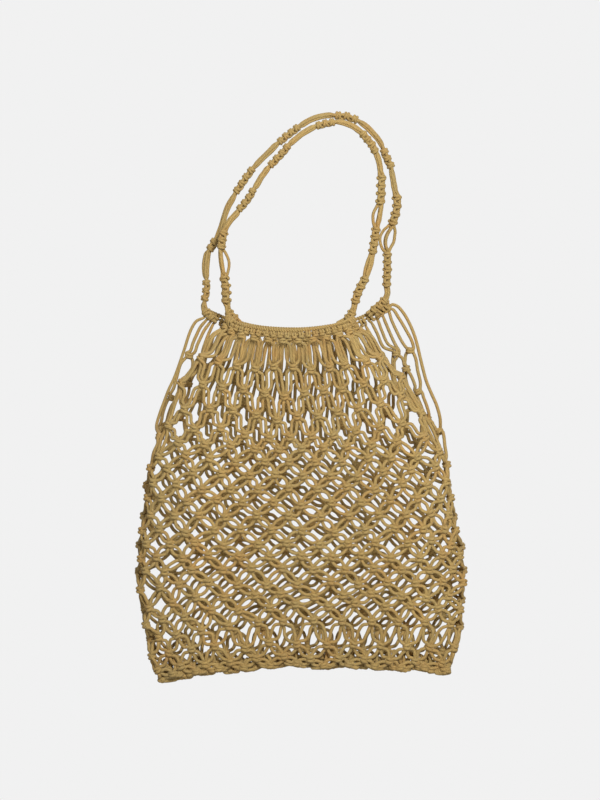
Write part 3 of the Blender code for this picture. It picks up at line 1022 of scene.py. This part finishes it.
def handle_paths(side):
    """Control points of the four cords of a handle, by cord name."""
    data = HANDLES[side]
    line = HandleLine(side)
    paths = {name: [] for name in HANDLE_CORDS}

    def add(s, offsets):
        point, across, _, out = line.at(s)
        for name, (sideways, forward) in offsets.items():
            paths[name].append(point + across * sideways + out * forward)

    def gather(s, width):
        add(s, {name: (a * width, c * width) for name, (a, c) in HANDLE_CORDS.items()})

    def slack_stretch(start, length, inner, outer):
        for share in SLACK_STATIONS:
            bulge = math.sin(math.pi * share) ** 0.6
            wild = rng.normal(0, 0.14, 8)
            add(start + length * share, {
                "knotting_front": (-1.35 - inner * bulge + wild[4], 0.4 + wild[0]),
                "knotting_rear": (1.35 + outer * bulge + wild[5], -0.4 - wild[1]),
                "core_inner": (-0.4 + wild[6], -1.5 - wild[2]),
                "core_outer": (0.4 + wild[7], 1.5 + wild[3]),
            })

    def knot_run(start, end, turn, group_width):
        count = max(2, int(round((end - start) / KNOT_PITCH)))
        step = (end - start) / count
        for k in range(count):
            point, across, along, out = line.at(start + (k + 0.5) * step)
            knot_across, knot_out = turned(across, out, turn + rng.normal(0, 0.12))
            centre = point + across * rng.normal(0, 0.3)
            width = group_width * rng.uniform(0.95, 1.05)
            knot = Knot(centre, knot_across, along, knot_out, step * 0.98, width, True)
            for slot, name in enumerate(HANDLE_CORDS):
                paths[name].extend(through_knot(
                    knot, slot, squeeze=0.195, pinch=1.7, depth=0.45 + 0.5 * width,
                    entry=k == 0, leave=k == count - 1))

    gather(0.0, FOOT_WIDTH)
    last = None
    for index, (first_spot, last_spot, turn, width) in enumerate(data["groups"]):
        start, end = line.nearest(first_spot), line.nearest(last_spot)
        if last is not None:
            slack = data["slack"][index - 1]
            if slack is None:
                # the thin neck between the handle and the knots bound into the rim
                gather(last + (start - last) / 2, NECK_WIDTH)
            else:
                slack_stretch(last, start - last, *slack)
        knot_run(start, end, turn, width)
        last = end
    gather(line.total, FOOT_WIDTH)
    return paths


def build_handle(side):
    label = SIDE_NAMES[side]
    for name, points in handle_paths(side).items():
        piece = cord_object(f"{label}_handle_cord_{name}", [spline(points)],
                            [HANDLE_CORD_RADIUS], any_shade())
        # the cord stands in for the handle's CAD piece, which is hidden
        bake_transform(piece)
        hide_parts(f"{label}_handle_{name}")


for side in (FRONT, BACK):
    build_handle(side)

# ----------------------------------------------------------------------------------
# Studio, in metres: pale floor and wall in one sweep, camera square on to the front.
PAPER = 0.8796                               # brightness of the paper as the camera sees it
AMBIENT = (0.19, 0.17, 0.135, 1.0)           # what the world sheds on the bag
SWEEP_HALF_WIDTH = 9.0
FLOOR_FRONT, FLOOR_BACK = -9.0, 8.0          # the wall leaves room for a view from behind
SWEEP_RADIUS = 0.9
WALL_TOP = 9.0
SWEEP_DROP = 0.012                           # the floor lies this far below z = 0

scene = bpy.context.scene
scene.view_settings.view_transform = "Standard"


def make_world():
    world = bpy.data.worlds.new("studio")
    scene.world = world
    world.use_nodes = True
    tree = world.node_tree
    seen = add_node(tree, "ShaderNodeLightPath").outputs["Is Camera Ray"]
    tone = add_node(tree, "ShaderNodeMix", {
        "Factor": seen,
        "A": AMBIENT,
        "B": (PAPER, PAPER, PAPER, 1.0),
    }, data_type="RGBA")
    feed(tree, tree.nodes["Background"], {"Color": tone.outputs["Result"]})


def paper_material():
    """An evenly lit paper: what the camera sees of it doesn't depend on the lamps."""
    material = bpy.data.materials.new("studio_paper")
    material.use_nodes = True
    tree = material.node_tree
    shader = tree.nodes["Principled BSDF"]
    feed(tree, shader, {
        "Base Color": (0.5, 0.5, 0.5, 1.0),
        "Roughness": 0.9,
        "Specular IOR Level": 0.1,
    })
    glow = add_node(tree, "ShaderNodeEmission",
                    {"Color": (1.0, 1.0, 1.0, 1.0), "Strength": PAPER})
    seen = add_node(tree, "ShaderNodeLightPath").outputs["Is Camera Ray"]
    mix = add_node(tree, "ShaderNodeMixShader",
                   {"Fac": seen, 1: shader.outputs[0], 2: glow.outputs[0]})
    feed(tree, tree.nodes["Material Output"], {"Surface": mix.outputs[0]})
    return material


def make_sweep():
    profile = [(FLOOR_FRONT, 0.0), (FLOOR_BACK, 0.0)]
    profile += [(FLOOR_BACK + SWEEP_RADIUS * math.sin(a), SWEEP_RADIUS - SWEEP_RADIUS * math.cos(a))
                for a in np.linspace(0.1, math.pi / 2, 12)]
    profile += [(FLOOR_BACK + SWEEP_RADIUS, WALL_TOP)]
    verts = [(x, y, z - SWEEP_DROP) for y, z in profile
             for x in (-SWEEP_HALF_WIDTH, SWEEP_HALF_WIDTH)]
    faces = [(2 * i, 2 * i + 1, 2 * i + 3, 2 * i + 2) for i in range(len(profile) - 1)]
    mesh = bpy.data.meshes.new("studio_sweep")
    mesh.from_pydata(verts, [], faces)
    mesh.polygons.foreach_set("use_smooth", np.ones(len(faces), dtype=bool))
    obj = bpy.data.objects.new("studio_sweep", mesh)
    scene.collection.objects.link(obj)
    mesh.materials.append(paper_material())


def area_light(name, location, target, size, power):
    """Square area light aimed at a target."""
    data = bpy.data.lights.new(name, "AREA")
    data.shape = "RECTANGLE"
    data.size = data.size_y = size
    data.energy = power
    obj = bpy.data.objects.new(name, data)
    obj.location = location
    direction = Vector(target) - Vector(location)
    obj.rotation_euler = direction.to_track_quat("-Z", "Y").to_euler()
    scene.collection.objects.link(obj)


def make_camera():
    camera = bpy.data.objects.new("camera", bpy.data.cameras.new("camera"))
    scene.collection.objects.link(camera)
    scene.camera = camera
    camera.data.sensor_width = 36.0
    camera.data.lens = camera.data.sensor_width * VIEW_DISTANCE / VIEW_WIDTH
    target = Vector((VIEW_CENTRE + SHIFT) / MM)
    camera.location = target + Vector((0.0, -VIEW_DISTANCE / MM, 0.0))
    camera.rotation_euler = (math.pi / 2, 0.0, 0.0)
    camera.data.clip_end = 50.0


make_world()
make_sweep()
area_light("key", location=(0.55, -2.1, 1.3), target=(0, 0, 0.28), size=0.6, power=58.0)
area_light("fill", location=(-1.4, -1.7, 0.5), target=(0, 0, 0.28), size=0.9, power=4.0)
area_light("top", location=(0.0, 0.2, 1.9), target=(0, 0, 0.2), size=1.0, power=7.0)
area_light("behind", location=(0.6, 2.0, 1.1), target=(0, 0, 0.28), size=1.0, power=12.0)
make_camera()

bpy.context.view_layer.update()
